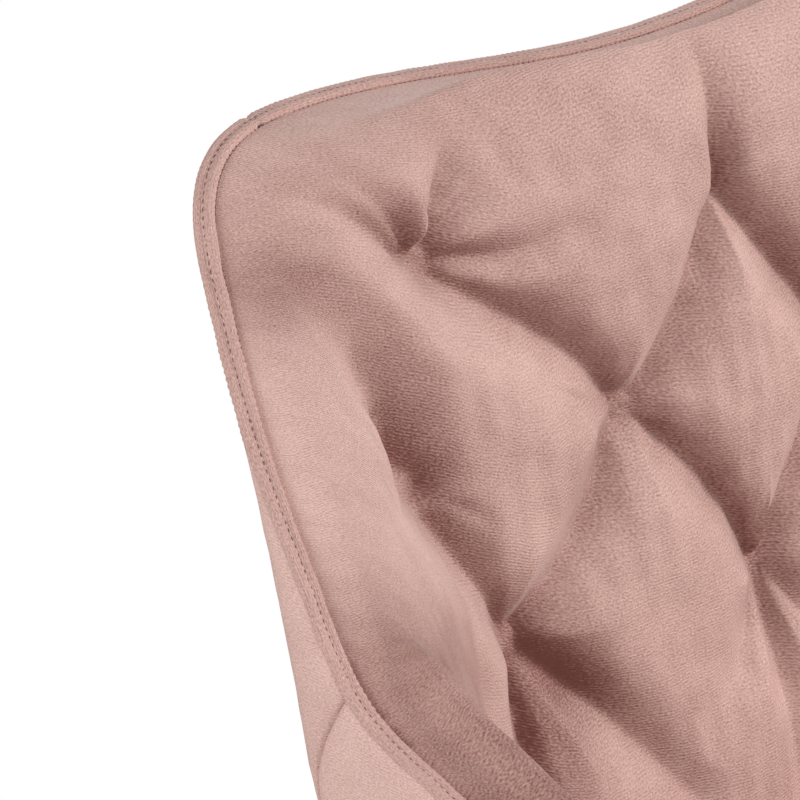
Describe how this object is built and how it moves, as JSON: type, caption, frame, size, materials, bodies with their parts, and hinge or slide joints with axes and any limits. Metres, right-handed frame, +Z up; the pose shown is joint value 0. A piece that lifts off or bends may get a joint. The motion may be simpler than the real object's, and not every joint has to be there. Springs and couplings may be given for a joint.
{
  "type": "glider nursery chair",
  "caption": "Tufted velvet bucket armchair on four swing links over a swivelling steel ring base; it glides fore and aft and turns.",
  "frame": {"origin": "on the floor, on the swivel axis, at the middle of the overall width and depth", "axes": "+Z up; the chair faces -Y; +X is towards the sitter's left"},
  "size_m": [0.6644, 0.7053, 0.955],
  "materials": {
    "velvet": "cut pile velvet, blush pink, with a fine twill rib and a pale sheen at grazing angles",
    "black_steel": "black powder coat, satin",
    "zinc_steel": "zinc plated, satin",
    "bearing_steel": "polished",
    "bronze": "oiled sintered bronze, satin",
    "black_plastic": "matte",
    "black_rubber": "matte",
    "hardwood": "planed, unfinished",
    "plywood": "moulded, unfinished",
    "felt": "needled felt",
    "dust_cloth": "spun cloth",
    "tie_thread": "twisted nylon cord with a flat plastic washer"
  },
  "bodies": {
    "floor_base": {"base_ring": "black_steel", "base_arms": "black_steel", "hub_plate": "black_steel", "floor_glides": "black_plastic", "lower_race": "zinc_steel", "lower_race_screws": "zinc_steel", "pivot_pin": "zinc_steel", "pivot_washer": "zinc_steel", "pivot_nut": "zinc_steel"},
    "ball_cage": {"ball_cage": "black_plastic", "bearing_balls": "bearing_steel"},
    "swivel_frame": {"upper_race": "zinc_steel", "upper_race_screws": "zinc_steel", "swivel_plate": "black_steel", "swivel_bush": "bronze", "cross_beams": "black_steel", "tower_left": "black_steel", "tower_right": "black_steel", "upper_pivot_bolts": "zinc_steel", "upper_pivot_nuts": "zinc_steel", "glide_stops": "black_rubber"},
    "front_left_link": {"link_front_left": "black_steel", "bushes_front_left": "bronze"},
    "front_right_link": {"link_front_right": "black_steel", "bushes_front_right": "bronze"},
    "rear_left_link": {"link_rear_left": "black_steel", "bushes_rear_left": "bronze"},
    "rear_right_link": {"link_rear_right": "black_steel", "bushes_rear_right": "bronze"},
    "seat": {"carriage_left": "black_steel", "carriage_right": "black_steel", "carriage_ties": "black_steel", "lower_pivot_bolts": "zinc_steel", "lower_pivot_nuts": "zinc_steel", "lower_pivot_sleeves": "zinc_steel", "carriage_screws": "zinc_steel", "front_rail": "hardwood", "rear_rail": "hardwood", "left_rail": "hardwood", "right_rail": "hardwood", "corner_blocks": "hardwood", "seat_springs": "zinc_steel", "spring_clips": "black_steel", "spring_cover": "felt", "dust_cover": "dust_cloth", "shell_board": "plywood", "shell_bolts": "zinc_steel", "tuft_ties": "tie_thread", "outer_back_cover": "velvet", "outer_side_cover_left": "velvet", "outer_side_cover_right": "velvet", "back_pad": "velvet", "arm_pad_left": "velvet", "arm_pad_right": "velvet", "rim_welt": "velvet", "front_board": "plywood", "front_border": "velvet", "seat_cushion": "velvet"}
  },
  "joints": [
    {"name": "swivel", "type": "hinge", "parent": "floor_base", "child": "swivel_frame", "pos_m": [0, 0, 0.04], "axis": [0, 0, 1], "continuous": true},
    {"name": "ball_cage_roll", "type": "hinge", "parent": "floor_base", "child": "ball_cage", "pos_m": [0, 0, 0.0375], "axis": [0, 0, 1], "continuous": true},
    {"name": "glide", "type": "hinge", "parent": "swivel_frame", "child": "front_left_link", "pos_m": [0.2135, -0.105, 0.205], "axis": [1, 0, 0], "range_deg": [-25, 25]},
    {"name": "front_right_swing", "type": "hinge", "parent": "swivel_frame", "child": "front_right_link", "pos_m": [-0.2135, -0.105, 0.205], "axis": [1, 0, 0], "range_deg": [-25, 25]},
    {"name": "rear_left_swing", "type": "hinge", "parent": "swivel_frame", "child": "rear_left_link", "pos_m": [0.2135, 0.105, 0.205], "axis": [1, 0, 0], "range_deg": [-25, 25]},
    {"name": "rear_right_swing", "type": "hinge", "parent": "swivel_frame", "child": "rear_right_link", "pos_m": [-0.2135, 0.105, 0.205], "axis": [1, 0, 0], "range_deg": [-25, 25]},
    {"name": "seat_level", "type": "hinge", "parent": "front_left_link", "child": "seat", "pos_m": [0.2135, -0.105, 0.085], "axis": [1, 0, 0], "range_deg": [-25, 25]}
  ],
  "couplings": [
    {"joint": "ball_cage_roll", "follows": "swivel", "ratio": 0.5},
    {"joint": "front_right_swing", "follows": "glide", "ratio": 1},
    {"joint": "rear_left_swing", "follows": "glide", "ratio": 1},
    {"joint": "rear_right_swing", "follows": "glide", "ratio": 1},
    {"joint": "seat_level", "follows": "glide", "ratio": -1}
  ]
}
